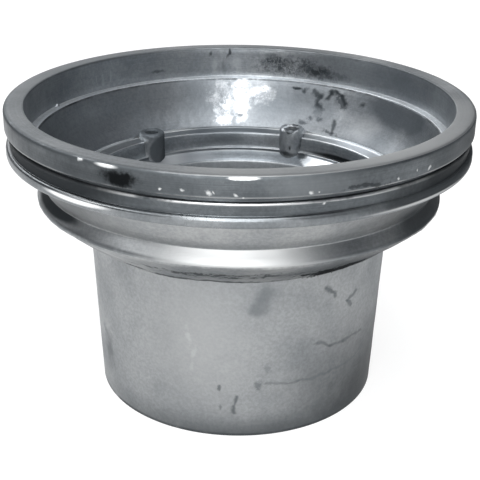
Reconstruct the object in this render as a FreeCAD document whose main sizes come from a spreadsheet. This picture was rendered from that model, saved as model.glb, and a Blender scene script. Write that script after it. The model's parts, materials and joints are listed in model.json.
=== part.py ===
import FreeCAD, Part
import math
import os
import Sketcher

# One-piece cast aluminium balcony drain: a grate rim over a tapered bowl over a pipe spigot.
# The axis is Z and the spigot's free end stands on Z = 0. All sizes in mm.
SIZES = {
    "total_height": (104.6, "spigot end to rim top"),
    "rim_radius": (80.0, "outside of the rim band"),
    "rim_width": (6.7, "flat top face of the rim"),
    "band_height": (6.8, "plain band under the rim top"),
    "groove_width": (1.6, "groove between band and collar"),
    "groove_depth": (2.2, "groove, in from the band"),
    "collar_inset": (0.8, "top of the collar, in from the band"),
    "collar_taper": (0.7, "how far the collar draws in"),
    "collar_height": (4.2, "collar between groove and bead"),
    "bead_projection": (1.45, "bead, out from the collar's foot"),
    "bead_height": (2.9, "bead at the collar's foot"),
    "bowl_inset": (5.2, "top of the bowl wall, in from the band"),
    "bowl_taper": (8.0, "how far the bowl wall draws in"),
    "bowl_height": (12.6, "bowl wall, bead to crease"),
    "belt_projection": (4.0, "belt, out from the crease"),
    "belt_drop": (3.4, "crease to the belt's edge"),
    "cone_height": (13.0, "cone under the belt"),
    "shoulder_width": (2.6, "flat ring between cone and spigot"),
    "spigot_radius": (53.0, "spigot outside at the shoulder"),
    "spigot_taper": (2.6, "how far the spigot draws in"),
    "spigot_wall": (4.3, "spigot wall"),
    "seat_depth": (11.7, "rim top to the grate seat"),
    "seat_width": (3.2, "grate seat ledge"),
    "bend_inset": (3.9, "bend of the inner wall, in from the seat"),
    "bend_rise": (6.1, "bend of the inner wall, up from its foot"),
    "foot_inset": (6.3, "foot of the inner wall, in from the crease"),
    "foot_drop": (1.2, "foot of the inner wall, down from the crease"),
    "ledge_drop": (0.8, "floor ledge, down from the wall's foot"),
    "ledge_width": (5.8, "floor ledge"),
    "neck_height": (5.2, "neck wall under the floor ledge"),
    "neck_taper": (0.6, "how far the neck draws in"),
    "step_width": (1.1, "small step at the neck's foot"),
    "step_height": (1.5, "short wall under the small step"),
    "throat_height": (3.1, "sloping throat down to the bore"),
    "boss_count": (6, "screw bosses round the neck"),
    "boss_angle": (68.0, "first boss, degrees round from +X"),
    "boss_setback": (1.3, "boss centre, out from the neck wall"),
    "boss_radius": (6.1, "outside of a boss"),
    "boss_rise": (2.4, "boss top, up from the wall's foot"),
    "boss_height": (11.4, "boss top to its foot"),
    "screw_hole_diameter": (5.0, "core hole for an M6 thread"),
    "screw_hole_depth": (8.5, "blind hole down from the boss top"),
    "rim_chamfer": (0.9, "rim, outer top edge"),
    "bead_chamfer": (0.8, "bead, both edges"),
    "seat_chamfer": (1.4, "inner edge of the grate seat"),
    "belt_round": (2.2, "belt edge"),
}

# Heights, from the rim top down.
GROOVE_TOP = "total_height - band_height"
COLLAR_TOP = GROOVE_TOP + " - groove_width"
COLLAR_FOOT = COLLAR_TOP + " - collar_height"
BEAD_FOOT = COLLAR_FOOT + " - bead_height"
CREASE = BEAD_FOOT + " - bowl_height"
BELT = CREASE + " - belt_drop"
SHOULDER = BELT + " - cone_height"
SEAT = "total_height - seat_depth"
WALL_FOOT = CREASE + " - foot_drop"
BEND = WALL_FOOT + " + bend_rise"
LEDGE = WALL_FOOT + " - ledge_drop"
NECK_FOOT = LEDGE + " - neck_height"
STEP_FOOT = NECK_FOOT + " - step_height"
BORE_TOP = STEP_FOOT + " - throat_height"
BOSS_TOP = WALL_FOOT + " + boss_rise"
BOSS_FOOT = BOSS_TOP + " - boss_height"

# Radii.
GROOVE_R = "rim_radius - groove_depth"
COLLAR_R = "rim_radius - collar_inset"
COLLAR_FOOT_R = COLLAR_R + " - collar_taper"
BEAD_R = COLLAR_FOOT_R + " + bead_projection"
BOWL_R = "rim_radius - bowl_inset"
CREASE_R = BOWL_R + " - bowl_taper"
BELT_R = CREASE_R + " + belt_projection"
SHOULDER_R = "spigot_radius + shoulder_width"
SPIGOT_END_R = "spigot_radius - spigot_taper"
RIM_BORE_R = "rim_radius - rim_width"
SEAT_R = RIM_BORE_R + " - seat_width"
BEND_R = SEAT_R + " - bend_inset"
WALL_FOOT_R = CREASE_R + " - foot_inset"
NECK_R = WALL_FOOT_R + " - ledge_width"
NECK_FOOT_R = NECK_R + " - neck_taper"
STEP_R = NECK_FOOT_R + " - step_width"
BORE_R = "spigot_radius - spigot_wall"
BORE_END_R = SPIGOT_END_R + " - spigot_wall"
BOSS_CIRCLE_R = NECK_R + " + boss_setback"

# Corners of the revolved section in order round it: radius and height, None on the base.
SECTION = {
    "spigot_end": (SPIGOT_END_R, None),
    "spigot_root": ("spigot_radius", SHOULDER),
    "shoulder_edge": (SHOULDER_R, SHOULDER),
    "belt_edge": (BELT_R, BELT),
    "crease": (CREASE_R, CREASE),
    "bead_root": (BOWL_R, BEAD_FOOT),
    "bead_lower_edge": (BEAD_R, BEAD_FOOT),
    "bead_upper_edge": (BEAD_R, COLLAR_FOOT),
    "collar_foot": (COLLAR_FOOT_R, COLLAR_FOOT),
    "collar_edge": (COLLAR_R, COLLAR_TOP),
    "groove_lower": (GROOVE_R, COLLAR_TOP),
    "groove_upper": (GROOVE_R, GROOVE_TOP),
    "band_foot": ("rim_radius", GROOVE_TOP),
    "rim_outer_edge": ("rim_radius", "total_height"),
    "rim_inner_edge": (RIM_BORE_R, "total_height"),
    "seat_corner": (RIM_BORE_R, SEAT),
    "seat_edge": (SEAT_R, SEAT),
    "bend": (BEND_R, BEND),
    "wall_foot": (WALL_FOOT_R, WALL_FOOT),
    "ledge_corner": (WALL_FOOT_R, LEDGE),
    "ledge_edge": (NECK_R, LEDGE),
    "neck_foot": (NECK_FOOT_R, NECK_FOOT),
    "step_edge": (STEP_R, NECK_FOOT),
    "step_foot": (STEP_R, STEP_FOOT),
    "bore_edge": (BORE_R, BORE_TOP),
    "bore_end": (BORE_END_R, None),
}

# Corners of the section that are arcs, each with its radius.
ARCS = {"belt_edge": "belt_round"}

# Each chamfer and the corners of the section that it breaks.
CHAMFERS = {
    "rim_chamfer": ["rim_outer_edge"],
    "bead_chamfer": ["bead_lower_edge", "bead_upper_edge"],
    "seat_chamfer": ["seat_edge"],
}

MATCH = 1e-3


def fill_sheet(doc):
    sheet = doc.addObject("Spreadsheet::Sheet", "Dimensions")
    for row, (alias, (size, note)) in enumerate(SIZES.items(), start=1):
        sheet.set("A%d" % row, alias)
        sheet.set("B%d" % row, str(size))
        sheet.set("C%d" % row, note)
        sheet.setAlias("B%d" % row, alias)
    doc.recompute()
    return sheet


def number(sheet, terms):
    """Value of a sum of cells such as 'rim_radius - rim_width'; None is the base, 0."""
    total = 0.0
    sign = 1.0
    for word in (terms or "").split():
        if word in "+-":
            sign = -1.0 if word == "-" else 1.0
        else:
            total += sign * float(sheet.get(word))
    return total


def bound(sheet, terms):
    """The same sum written as an expression on the sheet."""
    words = [word if word in "+-" else sheet.Name + "." + word for word in terms.split()]
    return " ".join(words)


def add_sketch(body, name, role):
    sketch = body.newObject("Sketcher::SketchObject", name)
    plane = [feature for feature in body.Origin.OriginFeatures if feature.Role == role][0]
    sketch.AttachmentSupport = [(plane, "")]
    sketch.MapMode = "FlatFace"
    return sketch


def constrain(sketch, name, constraint, expression):
    index = sketch.addConstraint(constraint)
    sketch.renameConstraint(index, name)
    sketch.setExpression("Constraints." + name, expression)


def arc_in_corner(before, corner, after, radius):
    """Start, middle and end of the arc that rounds a corner between its two neighbours."""
    back = (before - corner).normalize()
    ahead = (after - corner).normalize()
    half_angle = back.getAngle(ahead) / 2
    reach = radius / math.tan(half_angle)
    depth = radius / math.sin(half_angle) - radius
    inwards = (back + ahead).normalize()
    return corner + back * reach, corner + inwards * depth, corner + ahead * reach


def pin_corner(sketch, sheet, corner, geometry, point):
    """Bind a point of the sketch to the corner's radius and height."""
    r, z = SECTION[corner]
    across = Sketcher.Constraint("DistanceX", -1, 1, geometry, 1, point.x)
    constrain(sketch, corner + "_radius", across, bound(sheet, r))
    if z is None:
        sketch.addConstraint(Sketcher.Constraint("PointOnObject", geometry, 1, -1))
    else:
        up = Sketcher.Constraint("DistanceY", -1, 1, geometry, 1, point.y)
        constrain(sketch, corner + "_height", up, bound(sheet, z))


def round_corner(sketch, sheet, corner, before, after, point, ends):
    """An arc between the lines before and after a corner, which stays as a construction point."""
    start, middle, end = ends
    arc = sketch.addGeometry(Part.Arc(start, middle, end), False)
    starts_first = sketch.getPoint(arc, 1).distanceToPoint(start) < MATCH
    first, last = (1, 2) if starts_first else (2, 1)
    sketch.addConstraint(Sketcher.Constraint("Tangent", before, 2, arc, first))
    sketch.addConstraint(Sketcher.Constraint("Tangent", arc, last, after, 1))
    radius = Sketcher.Constraint("Radius", arc, number(sheet, ARCS[corner]))
    constrain(sketch, corner + "_round", radius, bound(sheet, ARCS[corner]))
    tip = sketch.addGeometry(Part.Point(point), True)
    sketch.addConstraint(Sketcher.Constraint("PointOnObject", tip, 1, before))
    sketch.addConstraint(Sketcher.Constraint("PointOnObject", tip, 1, after))
    pin_corner(sketch, sheet, corner, tip, point)


def draw_section(body, sheet):
    sketch = add_sketch(body, "Section", "XZ_Plane")
    points = [FreeCAD.Vector(number(sheet, r), number(sheet, z), 0) for r, z in SECTION.values()]
    count = len(points)
    arcs = {}
    for i, corner in enumerate(SECTION):
        if corner in ARCS:
            radius = number(sheet, ARCS[corner])
            arcs[i] = arc_in_corner(points[i - 1], points[i], points[(i + 1) % count], radius)
    for i in range(count):
        following = (i + 1) % count
        start = arcs[i][2] if i in arcs else points[i]
        end = arcs[following][0] if following in arcs else points[following]
        sketch.addGeometry(Part.LineSegment(start, end), False)
    for i, corner in enumerate(SECTION):
        before = (i - 1) % count
        if i in arcs:
            round_corner(sketch, sheet, corner, before, i, points[i], arcs[i])
        else:
            sketch.addConstraint(Sketcher.Constraint("Coincident", before, 2, i, 1))
            pin_corner(sketch, sheet, corner, i, points[i])
    return sketch


def section_edges(sheet, shape, corners):
    """Names of the round edges that the given corners sweep."""
    names = []
    for corner in corners:
        r, z = SECTION[corner]
        for i, edge in enumerate(shape.Edges, start=1):
            round_edge = isinstance(edge.Curve, Part.Circle)
            if round_edge and abs(edge.Curve.Radius - number(sheet, r)) < MATCH:
                if abs(edge.Curve.Center.z - number(sheet, z)) < MATCH:
                    names.append("Edge%d" % i)
    return names


def add_chamfer(doc, body, sheet, alias, edges):
    base = body.Tip
    chamfer = body.newObject("PartDesign::Chamfer", alias.title().replace("_", ""))
    chamfer.Base = (base, edges)
    chamfer.Size = number(sheet, alias)
    chamfer.setExpression("Size", bound(sheet, alias))
    body.Tip = chamfer
    doc.recompute()


def boss_circle(body, sheet, name, height, radius, radius_expression):
    """A circle round the first boss's axis, drawn at the given height."""
    sketch = add_sketch(body, name, "XY_Plane")
    lift = FreeCAD.Vector(0, 0, number(sheet, height))
    sketch.AttachmentOffset = FreeCAD.Placement(lift, FreeCAD.Rotation())
    sketch.setExpression("AttachmentOffset.Base.z", bound(sheet, height))
    reach = number(sheet, BOSS_CIRCLE_R)
    turn = math.radians(number(sheet, "boss_angle"))
    origin = FreeCAD.Vector(0, 0, 0)
    centre = FreeCAD.Vector(reach * math.cos(turn), reach * math.sin(turn), 0)
    spoke = sketch.addGeometry(Part.LineSegment(origin, centre), True)
    ring = sketch.addGeometry(Part.Circle(centre, FreeCAD.Vector(0, 0, 1), radius), False)
    sketch.addConstraint(Sketcher.Constraint("Coincident", spoke, 1, -1, 1))
    sketch.addConstraint(Sketcher.Constraint("Coincident", ring, 3, spoke, 2))
    constrain(sketch, "reach", Sketcher.Constraint("Distance", spoke, reach), bound(sheet, BOSS_CIRCLE_R))
    angle = Sketcher.Constraint("Angle", -1, 1, spoke, 1, turn)
    constrain(sketch, "turn", angle, bound(sheet, "boss_angle") + " * 1 deg")
    constrain(sketch, "size", Sketcher.Constraint("Radius", ring, radius), radius_expression)
    return sketch


def add_casting(doc, body, sheet):
    section = draw_section(body, sheet)
    doc.recompute()
    casting = body.newObject("PartDesign::Revolution", "Casting")
    casting.Profile = section
    casting.ReferenceAxis = (section, ["V_Axis"])
    casting.Angle = 360.0
    body.Tip = casting
    doc.recompute()
    for alias, corners in CHAMFERS.items():
        add_chamfer(doc, body, sheet, alias, section_edges(sheet, body.Tip.Shape, corners))


def add_bosses(doc, body, sheet):
    radius = number(sheet, "boss_radius")
    outline = boss_circle(body, sheet, "BossOutline", BOSS_FOOT, radius, bound(sheet, "boss_radius"))
    boss = body.newObject("PartDesign::Pad", "Boss")
    boss.Profile = outline
    boss.Length = number(sheet, "boss_height")
    boss.setExpression("Length", bound(sheet, "boss_height"))
    body.Tip = boss
    doc.recompute()

    diameter = number(sheet, "screw_hole_diameter")
    half_diameter = bound(sheet, "screw_hole_diameter") + " / 2"
    mouth = boss_circle(body, sheet, "HoleMouth", BOSS_TOP, diameter / 2, half_diameter)
    doc.recompute()
    hole = body.newObject("PartDesign::Hole", "ScrewHole")
    hole.Profile = mouth
    hole.ThreadType = "None"
    hole.DepthType = "Dimension"
    hole.DrillPoint = "Flat"
    hole.Diameter = diameter
    hole.setExpression("Diameter", bound(sheet, "screw_hole_diameter"))
    hole.Depth = number(sheet, "screw_hole_depth")
    hole.setExpression("Depth", bound(sheet, "screw_hole_depth"))
    body.Tip = hole
    doc.recompute()

    ring = body.newObject("PartDesign::PolarPattern", "BossRing")
    ring.Originals = [boss, hole]
    ring.Axis = (outline, ["N_Axis"])
    ring.Angle = 360.0
    body.Tip = ring
    ring.setExpression("Occurrences", bound(sheet, "boss_count"))
    doc.recompute()


def check(doc):
    for item in doc.Objects:
        if "Invalid" in item.State or "Error" in item.State:
            raise RuntimeError(item.Name + " did not build")
        shape = getattr(item, "Shape", None)
        if shape is not None and (shape.isNull() or not shape.isValid()):
            raise RuntimeError(item.Name + " has no valid shape")


def main():
    doc = FreeCAD.newDocument("BalconyDrain")
    sheet = fill_sheet(doc)
    body = doc.addObject("PartDesign::Body", "drain_body")
    body.Label = "drain_body"
    body.Placement = FreeCAD.Placement()
    add_casting(doc, body, sheet)
    add_bosses(doc, body, sheet)
    check(doc)
    os.makedirs("parts", exist_ok=True)
    body.Shape.exportStep("parts/%s.step" % body.Label)


main()
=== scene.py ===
import json
import math
import bmesh
import bpy
from mathutils import Matrix, Vector, noise


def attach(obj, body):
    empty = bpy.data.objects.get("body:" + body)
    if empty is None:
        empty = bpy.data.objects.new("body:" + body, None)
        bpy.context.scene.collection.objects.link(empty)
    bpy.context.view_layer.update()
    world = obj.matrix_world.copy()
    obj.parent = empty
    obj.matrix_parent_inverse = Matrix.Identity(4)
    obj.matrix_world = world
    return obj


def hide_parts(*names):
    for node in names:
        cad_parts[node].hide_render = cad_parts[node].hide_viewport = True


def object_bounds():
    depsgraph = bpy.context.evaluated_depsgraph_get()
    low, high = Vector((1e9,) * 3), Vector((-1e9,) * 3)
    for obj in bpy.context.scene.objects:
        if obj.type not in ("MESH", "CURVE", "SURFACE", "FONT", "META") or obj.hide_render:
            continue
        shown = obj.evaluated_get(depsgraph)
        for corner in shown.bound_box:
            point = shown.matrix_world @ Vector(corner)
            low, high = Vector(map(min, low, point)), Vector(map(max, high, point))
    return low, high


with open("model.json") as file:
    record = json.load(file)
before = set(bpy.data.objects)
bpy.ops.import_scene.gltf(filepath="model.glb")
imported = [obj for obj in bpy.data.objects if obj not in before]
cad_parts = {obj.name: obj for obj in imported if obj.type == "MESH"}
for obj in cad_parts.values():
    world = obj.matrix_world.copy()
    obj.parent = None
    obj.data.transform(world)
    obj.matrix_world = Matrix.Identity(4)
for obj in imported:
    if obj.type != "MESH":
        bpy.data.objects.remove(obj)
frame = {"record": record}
cadLow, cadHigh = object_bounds()
mounts = {mount["name"]: mount for mount in frame["record"]["mounts"]}
mm = 0.001
rimRadius = cadHigh.x / mm
rimTop = cadHigh.z / mm
grateRadius = mounts["grate_seat"]["dims"]["r_mm"]
print("frame loaded, rim radius", round(rimRadius, 2), "mm, height", round(rimTop, 2), "mm")


# helpers for node trees

def feed(tree, socket, value):
    if isinstance(value, bpy.types.NodeSocket):
        tree.links.new(value, socket)
    else:
        socket.default_value = value


def addNode(tree, kind, inputs=None, **settings):
    node = tree.nodes.new(kind)
    for name, value in settings.items():
        setattr(node, name, value)
    for name, value in (inputs or {}).items():
        feed(tree, node.inputs[name], value)
    return node


def mathNode(tree, operation, first, second=0.5, third=None, clamp=False):
    inputs = {0: first, 1: second}
    if third is not None:
        inputs[2] = third
    return addNode(tree, "ShaderNodeMath", inputs, operation=operation, use_clamp=clamp).outputs[0]


def vectorNode(tree, operation, first, second=None):
    inputs = {0: first}
    if second is not None:
        inputs[1] = second
    node = addNode(tree, "ShaderNodeVectorMath", inputs, operation=operation)
    return node.outputs["Value" if operation in ("LENGTH", "DOT_PRODUCT") else "Vector"]


def splitXyz(tree, place):
    return addNode(tree, "ShaderNodeSeparateXYZ", {0: place}).outputs


def joinXyz(tree, *parts):
    return addNode(tree, "ShaderNodeCombineXYZ", dict(enumerate(parts))).outputs[0]


def axisDistance(tree, parts):
    return vectorNode(tree, "LENGTH", joinXyz(tree, parts[0], parts[1]))


def mixColour(tree, factor, first, second, blend="MIX"):
    return addNode(tree, "ShaderNodeMix", {0: factor, 6: first, 7: second},
                   data_type="RGBA", blend_type=blend).outputs[2]


def mixValue(tree, factor, first, second):
    return addNode(tree, "ShaderNodeMix", {0: factor, 2: first, 3: second}, data_type="FLOAT").outputs[0]


def remap(tree, value, low, high, outLow=0.0, outHigh=1.0):
    return addNode(tree, "ShaderNodeMapRange", {0: value, 1: low, 2: high, 3: outLow, 4: outHigh},
                   interpolation_type="SMOOTHSTEP").outputs[0]


def fade(tree, value, full, gone):
    return remap(tree, value, full, gone, 1.0, 0.0)


def spread(tree, value, outLow=0.0, outHigh=1.0):
    # a noise stays near its middle, so that part is stretched between the two values
    return remap(tree, value, 0.3, 0.7, outLow, outHigh)


def noiseNode(tree, place, scale, detail=3.0, roughness=0.6):
    return addNode(tree, "ShaderNodeTexNoise", {
        "Vector": place, "Scale": scale, "Detail": detail, "Roughness": roughness}).outputs["Fac"]


def signedNoise(tree, place, scale, **settings):
    return mathNode(tree, "SUBTRACT", noiseNode(tree, place, scale, **settings), 0.5)


# how far the metal's grey leans to blue where it is dark, and where it lies inside the bowl
lean = {"darkBelow": 0.4, "red": 0.985, "darkRed": 0.11, "coolRed": 0.025, "darkBlue": 0.10,
        "coolBlue": 0.035}


def grey(level, cool=0.0):
    dark = 1.0 - min(1.0, level / lean["darkBelow"])
    red = level * (lean["red"] - lean["darkRed"] * dark - lean["coolRed"] * cool)
    blue = level * (1.0 + lean["darkBlue"] * dark + lean["coolBlue"] * cool)
    return (red, level, blue, 1.0)


def newGroup(name, inputs, outputs):
    tree = bpy.data.node_groups.new(name, "ShaderNodeTree")
    for label, kind, value in inputs:
        socket = tree.interface.new_socket(name=label, in_out="INPUT", socket_type="NodeSocket" + kind)
        socket.default_value = value
    for label, kind in outputs:
        tree.interface.new_socket(name=label, in_out="OUTPUT", socket_type="NodeSocket" + kind)
    return tree, tree.nodes.new("NodeGroupInput").outputs, tree.nodes.new("NodeGroupOutput").inputs


def useGroup(tree, group, inputs):
    return addNode(tree, "ShaderNodeGroup", inputs, node_tree=group).outputs


# shared effects of the casting's surface
tearReach = 4.0  # how far a noise pushes the edge of a stain or scratch, in shares of its size


def makeCastGrain():
    tree, given, made = newGroup(
        "castGrain",
        [("Place", "Vector", (0, 0, 0)), ("Grain", "Float", 900.0), ("Cloud", "Float", 45.0)],
        [("Speckle", "Float"), ("Clouds", "Float"), ("Height", "Float")])
    dimpleShare = 0.5
    fine = noiseNode(tree, given["Place"], given["Grain"], roughness=0.65)
    cloud = noiseNode(tree, given["Place"], given["Cloud"], detail=5.0)
    dimple = addNode(tree, "ShaderNodeTexVoronoi", {"Vector": given["Place"], "Scale": given["Grain"]})
    bumps = mathNode(tree, "MULTIPLY_ADD", dimple.outputs["Distance"], dimpleShare, fine)
    tree.links.new(fine, made["Speckle"])
    tree.links.new(cloud, made["Clouds"])
    tree.links.new(bumps, made["Height"])
    return tree


def makeTurnedLines():
    # fine rings left by the lathe, and drag marks that run round with them
    tree, given, made = newGroup(
        "turnedLines",
        [("Place", "Vector", (0, 0, 0)), ("Pitch", "Float", 3000.0)],
        [("Lines", "Float")])
    parts = splitXyz(tree, given["Place"])
    turn = mathNode(tree, "ARCTAN2", parts[0], parts[1])
    across = mathNode(tree, "MULTIPLY", axisDistance(tree, parts), given["Pitch"])
    up = mathNode(tree, "MULTIPLY", parts[2], given["Pitch"])
    lines = noiseNode(tree, joinXyz(tree, across, up, turn), 1.0, detail=2.0)
    tree.links.new(lines, made["Lines"])
    return tree


def makeUnrolledWall():
    # distance round the wall and height, as a flat sheet; Facing is -1 with zero at the front, 1 at the back
    tree, given, made = newGroup(
        "unrolledWall",
        [("Place", "Vector", (0, 0, 0)), ("Radius", "Float", 0.05), ("Facing", "Float", -1.0)],
        [("Sheet", "Vector"), ("Steady", "Vector")])
    driftScale, driftReach = 170.0, 0.004
    parts = splitXyz(tree, given["Place"])
    ahead = mathNode(tree, "MULTIPLY", parts[1], given["Facing"])
    turn = mathNode(tree, "ARCTAN2", parts[0], ahead)
    along = mathNode(tree, "MULTIPLY", turn, given["Radius"])
    sheet = joinXyz(tree, along, parts[2])
    drift = addNode(tree, "ShaderNodeTexNoise", {
        "Vector": given["Place"], "Scale": driftScale, "Detail": 2.0})
    drift = vectorNode(tree, "SUBTRACT", drift.outputs["Color"], (0.5, 0.5, 0.5))
    drift = vectorNode(tree, "MULTIPLY", drift, (driftReach, driftReach, 0.0))
    tree.links.new(vectorNode(tree, "ADD", sheet, drift), made["Sheet"])
    tree.links.new(sheet, made["Steady"])
    return tree


def makeStainPatch():
    # a ragged blot on the sheet; Size is its half width and half height
    tree, given, made = newGroup(
        "stainPatch",
        [("Place", "Vector", (0, 0, 0)), ("Sheet", "Vector", (0, 0, 0)), ("Centre", "Vector", (0, 0, 0)),
         ("Size", "Vector", (0.01, 0.01, 1.0)), ("Ragged", "Float", 0.5), ("Detail", "Float", 200.0),
         ("Softness", "Float", 0.4)],
        [("Mask", "Float")])
    away = vectorNode(tree, "SUBTRACT", given["Sheet"], given["Centre"])
    reach = vectorNode(tree, "LENGTH", vectorNode(tree, "DIVIDE", away, given["Size"]))
    torn = signedNoise(tree, given["Place"], given["Detail"], detail=4.0, roughness=0.7)
    push = mathNode(tree, "MULTIPLY", torn, given["Ragged"])
    edge = mathNode(tree, "MULTIPLY_ADD", push, tearReach, reach)
    inner = mathNode(tree, "SUBTRACT", 1.0, given["Softness"])
    tree.links.new(fade(tree, edge, inner, 1.0), made["Mask"])
    return tree


def makeScratch():
    # a wavering line on the sheet from Start to End
    tree, given, made = newGroup(
        "scratch",
        [("Place", "Vector", (0, 0, 0)), ("Sheet", "Vector", (0, 0, 0)), ("Start", "Vector", (0, 0, 0)),
         ("End", "Vector", (0.01, 0, 0)), ("Width", "Float", 0.0005), ("Waver", "Float", 0.5)],
        [("Mask", "Float")])
    tearScale, core = 600.0, 0.1
    along = vectorNode(tree, "SUBTRACT", given["End"], given["Start"])
    away = vectorNode(tree, "SUBTRACT", given["Sheet"], given["Start"])
    reach = vectorNode(tree, "DOT_PRODUCT", away, along)
    length = vectorNode(tree, "DOT_PRODUCT", along, along)
    share = mathNode(tree, "DIVIDE", reach, length, clamp=True)
    foot = addNode(tree, "ShaderNodeVectorMath", {0: along, 3: share}, operation="SCALE").outputs[0]
    gap = vectorNode(tree, "LENGTH", vectorNode(tree, "SUBTRACT", away, foot))
    gap = mathNode(tree, "DIVIDE", gap, given["Width"])
    push = mathNode(tree, "MULTIPLY", given["Waver"], tearReach)
    gap = mathNode(tree, "MULTIPLY_ADD", signedNoise(tree, given["Place"], tearScale), push, gap)
    tree.links.new(fade(tree, gap, core, 1.0), made["Mask"])
    return tree


def makeCrinkle():
    # worm-like lines and blots, to break a stain up
    tree, given, made = newGroup(
        "crinkle",
        [("Place", "Vector", (0, 0, 0)), ("Scale", "Float", 250.0), ("Cover", "Float", 0.5)],
        [("Mask", "Float")])
    wormCore, wormEdge = 0.012, 0.05
    blotLevel, blotSpan, blotEdge = 0.8, 0.5, 0.08
    field = noiseNode(tree, given["Place"], given["Scale"], roughness=0.55)
    ridge = mathNode(tree, "ABSOLUTE", mathNode(tree, "SUBTRACT", field, 0.5))
    worm = fade(tree, ridge, wormCore, wormEdge)
    level = mathNode(tree, "SUBTRACT", blotLevel, mathNode(tree, "MULTIPLY", given["Cover"], blotSpan))
    blot = remap(tree, mathNode(tree, "SUBTRACT", field, level), 0.0, blotEdge)
    tree.links.new(mathNode(tree, "MAXIMUM", worm, blot), made["Mask"])
    return tree


def makeRingWearAndLight():
    # broken line along a round edge at one radius and height, for edge wear, painted highlight lines and
    # painted shade on rounds
    tree, given, made = newGroup(
        "ringWearAndLight",
        [("Place", "Vector", (0, 0, 0)), ("Radius", "Float", 0.08), ("Height", "Float", 0.1),
         ("Width", "Float", 0.001), ("Breaks", "Float", 70.0)],
        [("Mask", "Float")])
    core, breakLow, breakHigh = 0.4, 0.3, 0.55
    parts = splitXyz(tree, given["Place"])
    out = mathNode(tree, "SUBTRACT", axisDistance(tree, parts), given["Radius"])
    up = mathNode(tree, "SUBTRACT", parts[2], given["Height"])
    gap = vectorNode(tree, "LENGTH", joinXyz(tree, out, up))
    near = fade(tree, mathNode(tree, "DIVIDE", gap, given["Width"]), core, 1.0)
    breaks = noiseNode(tree, given["Place"], given["Breaks"], detail=4.0, roughness=0.65)
    broken = remap(tree, breaks, breakLow, breakHigh)
    tree.links.new(mathNode(tree, "MULTIPLY", near, broken), made["Mask"])
    return tree


castGrain = makeCastGrain()
turnedLines = makeTurnedLines()
unrolledWall = makeUnrolledWall()
stainPatch = makeStainPatch()
scratch = makeScratch()
crinkle = makeCrinkle()
ringWearAndLight = makeRingWearAndLight()


# marks on the casting: bearing in degrees to the right of the front (or, inside, of the back) as the
# camera sees it, height in mm above the spigot end, half width and half height in mm, metal grey

def patch(bearing, height, wide, high, metal, rough=0.5, strength=1.0, ragged=0.3, detail=250.0,
          soft=0.5, worms=0.0, cover=0.5, wormScale=260.0, steady=False, dirtAndShade=False):
    return {"kind": "patch", "at": (bearing, height), "size": (wide, high), "metal": metal, "rough": rough,
            "strength": strength, "ragged": ragged, "detail": detail, "soft": soft, "worms": worms,
            "cover": cover, "wormScale": wormScale, "steady": steady, "dirtAndShade": dirtAndShade}


def line(start, end, width, metal, strength=1.0, waver=0.25):
    return {"kind": "line", "start": start, "end": end, "width": width, "metal": metal, "rough": 0.5,
            "strength": strength, "waver": waver, "steady": False, "dirtAndShade": False}


def polyline(points, width, metal, strength):
    return [line(start, end, width, metal, strength) for start, end in zip(points, points[1:])]


# a small chip of bare metal, painted as bright as a glint
def chipGlint(bearing, height, size=0.75):
    return patch(bearing, height, size, size, 0.70, rough=0.6, strength=0.9, ragged=0.5, detail=700.0,
                 soft=0.95)


# a broad soft patch of painted light and shade: the casting made lighter or darker where the lamps and
# surroundings fall that way on it
def paintedShading(bearing, height, wide, high, metal, strength, soft=0.9, dirtAndShade=False):
    return patch(bearing, height, wide, high, metal, strength=strength, ragged=0.1, detail=60.0, soft=soft,
                 steady=True, dirtAndShade=dirtAndShade)


def crazing(bearing, height, wide, high, metal, strength, cover, wormScale, ragged=0.4, detail=300.0,
            soft=0.7):
    return patch(bearing, height, wide, high, metal, strength=strength, ragged=ragged, detail=detail,
                 soft=soft, worms=1.0, cover=cover, wormScale=wormScale)


rimGlints = [
    patch(-28.2, 103.9, 4.6, 0.8, 0.98, ragged=0.08, detail=400.0, soft=0.6, steady=True),
    patch(-34.3, 103.8, 1.2, 0.9, 0.98, ragged=0.25, soft=0.6),
    patch(1.0, 103.9, 5.4, 0.7, 0.98, ragged=0.15, detail=400.0, soft=0.6, steady=True),
]
bandMarks = [
    # painted shading: darker left of the front, lighter right of it, and dark on the right side
    paintedShading(-14.0, 101.0, 18.0, 7.0, 0.08, 0.5),
    paintedShading(15.0, 101.0, 22.0, 8.0, 0.20, 0.6),
    paintedShading(-32.0, 99.0, 26.0, 6.0, 0.04, 0.55),
    paintedShading(74.0, 101.0, 50.0, 10.0, 0.05, 0.9, dirtAndShade=True),
    patch(-25.4, 101.0, 8.6, 3.6, 0.015, rough=0.6, strength=0.85, detail=420.0, soft=0.7, dirtAndShade=True),
    patch(-25.0, 101.0, 6.0, 3.0, 0.006, rough=0.7, ragged=0.2, detail=420.0, soft=0.5, dirtAndShade=True),
    patch(27.0, 98.9, 8.0, 0.9, 0.04, rough=0.6, strength=0.7, ragged=0.5, detail=600.0),
]
bandChipGlints = [chipGlint(-15.9, 99.8), chipGlint(-11.1, 100.1), chipGlint(-6.3, 99.4, 1.0), chipGlint(-5.3, 100.0, 0.5),
             chipGlint(-0.3, 98.6), chipGlint(1.0, 98.4, 0.6), chipGlint(14.3, 99.0), chipGlint(15.8, 99.5, 0.6),
             chipGlint(34.7, 99.2), chipGlint(40.5, 100.2, 0.6), chipGlint(45.0, 99.4, 0.7)]
collarMarks = [
    # painted shade: the collar dark on its left and right sides
    paintedShading(-52.0, 95.0, 50.0, 8.0, 0.021, 0.97, soft=0.5, dirtAndShade=True),
    paintedShading(66.0, 94.0, 60.0, 10.0, 0.022, 0.96, soft=0.6, dirtAndShade=True),
    chipGlint(17.5, 94.9),
]
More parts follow.
